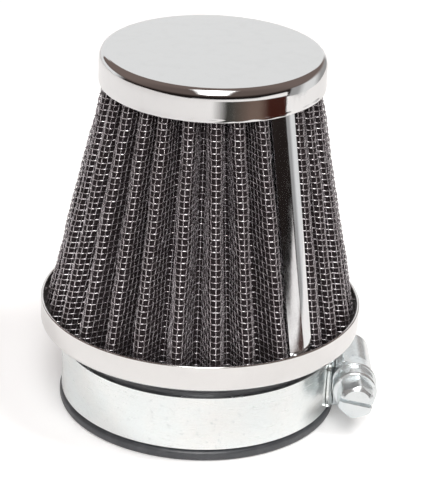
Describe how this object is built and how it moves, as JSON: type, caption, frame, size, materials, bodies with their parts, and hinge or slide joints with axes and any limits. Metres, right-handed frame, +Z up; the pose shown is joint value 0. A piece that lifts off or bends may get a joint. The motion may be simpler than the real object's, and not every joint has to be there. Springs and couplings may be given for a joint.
{
  "type": "air filter",
  "caption": "Clamp-on conical air filter: pleated wire-cloth element between a pressed cap and a base ring, rubber neck with a worm-drive clamp.",
  "frame": {"origin": "centre of the rubber neck's mouth", "axes": "+Z up the filter's axis from the neck to the cap, +X towards the clamp's screw housing, the screw's head faces -Y"},
  "size_m": [0.0781, 0.0736, 0.0844],
  "materials": {
    "chrome": "polished chrome plate",
    "zinc": "bright zinc plate on rolled steel",
    "wire": "drawn wire, dull",
    "gauze": "oiled cotton gauze",
    "potting": "cured sealant",
    "rubber": "moulded satin"
  },
  "bodies": {
    "filter": {"top_cap": "chrome", "cap_potting": "potting", "outer_wire_cloth": "wire", "outer_gauze": "gauze", "inner_gauze": "gauze", "inner_wire_cloth": "wire", "seam_clip": "chrome", "base_ring": "chrome", "base_potting": "potting", "rubber_neck": "rubber"},
    "clamp": {"clamp_band": "zinc", "clamp_saddle": "zinc", "clamp_housing": "zinc"},
    "tail": {"band_tail": "zinc"},
    "screw": {"clamp_screw": "zinc"}
  },
  "joints": [
    {"name": "clamp_turn", "type": "hinge", "parent": "filter", "child": "clamp", "pos_m": [0, 0, 0.00915], "axis": [0, 0, 1], "continuous": true},
    {"name": "screw_turn", "type": "hinge", "parent": "clamp", "child": "screw", "pos_m": [0.03605, 0, 0.00915], "axis": [0, 1, 0], "range_deg": [-540, 1080]},
    {"name": "tail_slide", "type": "hinge", "parent": "clamp", "child": "tail", "pos_m": [0, 0, 0.00915], "axis": [0, 0, -1], "range_deg": [-8, 16]}
  ],
  "couplings": [
    {"joint": "tail_slide", "follows": "screw_turn", "ratio": 0.014748}
  ]
}
